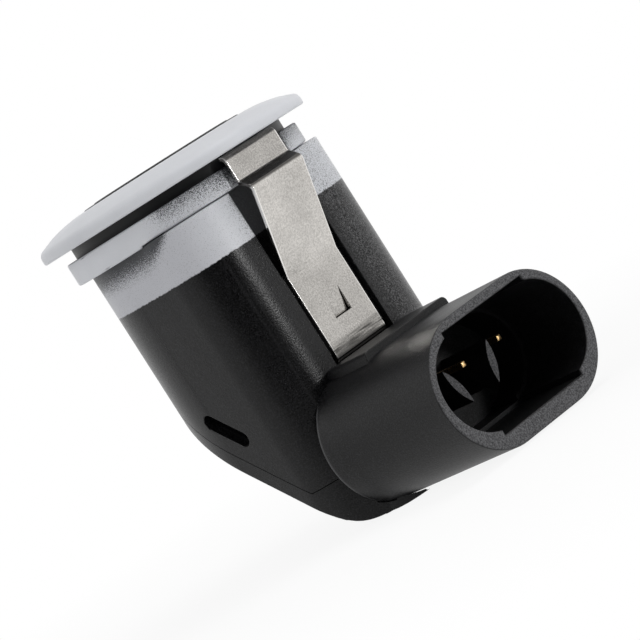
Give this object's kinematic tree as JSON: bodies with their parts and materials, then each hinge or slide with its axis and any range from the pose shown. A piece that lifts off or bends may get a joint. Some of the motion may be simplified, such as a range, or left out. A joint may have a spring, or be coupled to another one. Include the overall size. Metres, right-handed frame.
{
  "type": "ultrasonic parking sensor",
  "caption": "Ultrasonic parking sensor: round painted bezel with a sensing face, D-section elbow housing with a sloped rear cover, plug socket and spring-steel panel clips.",
  "frame": {"origin": "centre of the bezel's rear seat, where the rim meets the bumper's outer skin", "axes": "+Z out of the sensing face, +X out of the plug socket"},
  "size_m": [0.0444, 0.0304, 0.0401],
  "materials": {
    "housing_plastic": "fine grained black moulding, painted silver near the bezel",
    "cover_plastic": "fine grained black moulding",
    "bezel_paint": "satin silver paint on plastic",
    "cup_coating": "black coated aluminium",
    "ring_rubber": "soft black silicone",
    "piezo_ceramic": "fired ceramic",
    "foam": "open foam",
    "lead_red": "red insulation",
    "lead_black": "black insulation",
    "board_laminate": "green solder mask",
    "chip_resin": "moulded resin",
    "core_ferrite": "sintered ferrite",
    "winding_copper": "enamelled copper wire",
    "capacitor_can": "bright can",
    "pin_gilt": "gold flash",
    "clip_steel": "rolled spring steel, satin",
    "potting_resin": "poured resin"
  },
  "bodies": {
    "root": {"housing": "housing_plastic", "rear_cover": "cover_plastic", "bezel_ring": "bezel_paint", "transducer_cup": "cup_coating", "decoupling_ring": "ring_rubber", "piezo_disc": "piezo_ceramic", "damping_foam": "foam", "piezo_lead": "lead_red", "ground_lead": "lead_black", "circuit_board": "board_laminate", "control_chip": "chip_resin", "transformer_core": "core_ferrite", "transformer_winding": "winding_copper", "storage_capacitor": "capacitor_can", "chip_resistors": "chip_resin", "contact_pin_left": "pin_gilt", "contact_pin_middle": "pin_gilt", "contact_pin_right": "pin_gilt", "spring_clip_front": "clip_steel", "spring_clip_back": "clip_steel", "potting_compound": "potting_resin"}
  },
  "joints": []
}
